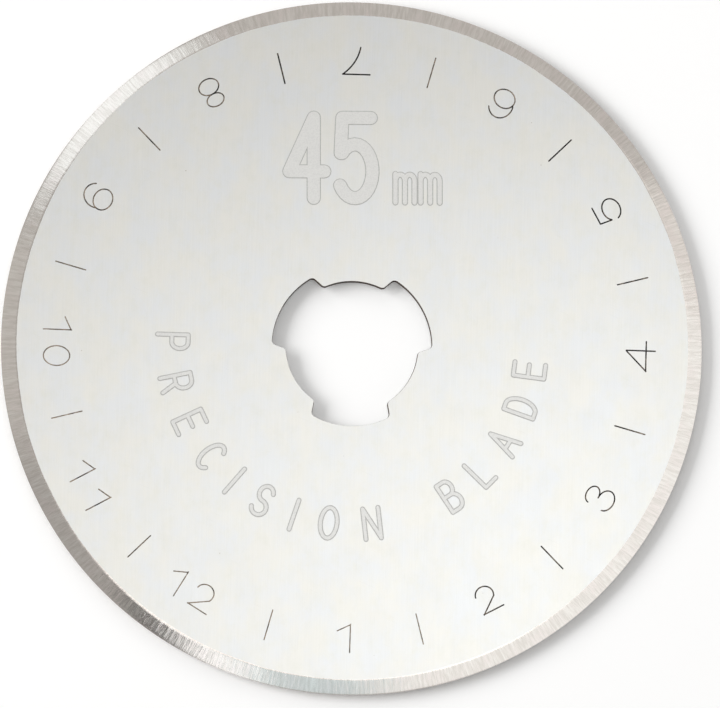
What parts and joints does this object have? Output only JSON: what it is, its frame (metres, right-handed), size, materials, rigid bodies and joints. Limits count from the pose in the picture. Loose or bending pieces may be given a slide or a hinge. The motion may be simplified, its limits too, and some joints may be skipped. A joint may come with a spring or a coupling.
{
  "type": "rotary cutter blade",
  "caption": "Round double-bevelled steel blade for a fabric rotary cutter, with a three-lobed spindle hole and an engraved index ring.",
  "frame": {"origin": "centre of the disc, on its middle plane, where the spindle axis crosses it", "axes": "+Z along the spindle axis, out of the engraved face; -Y through numeral 1 and one lobe of the spindle hole; +X through numeral 4"},
  "size_m": [0.045, 0.045, 0.0004],
  "materials": {
    "blade_steel": "satin rolled stainless steel, with a finely ground bevel and laser marks"
  },
  "bodies": {
    "root": {"blade": "blade_steel"}
  },
  "joints": []
}
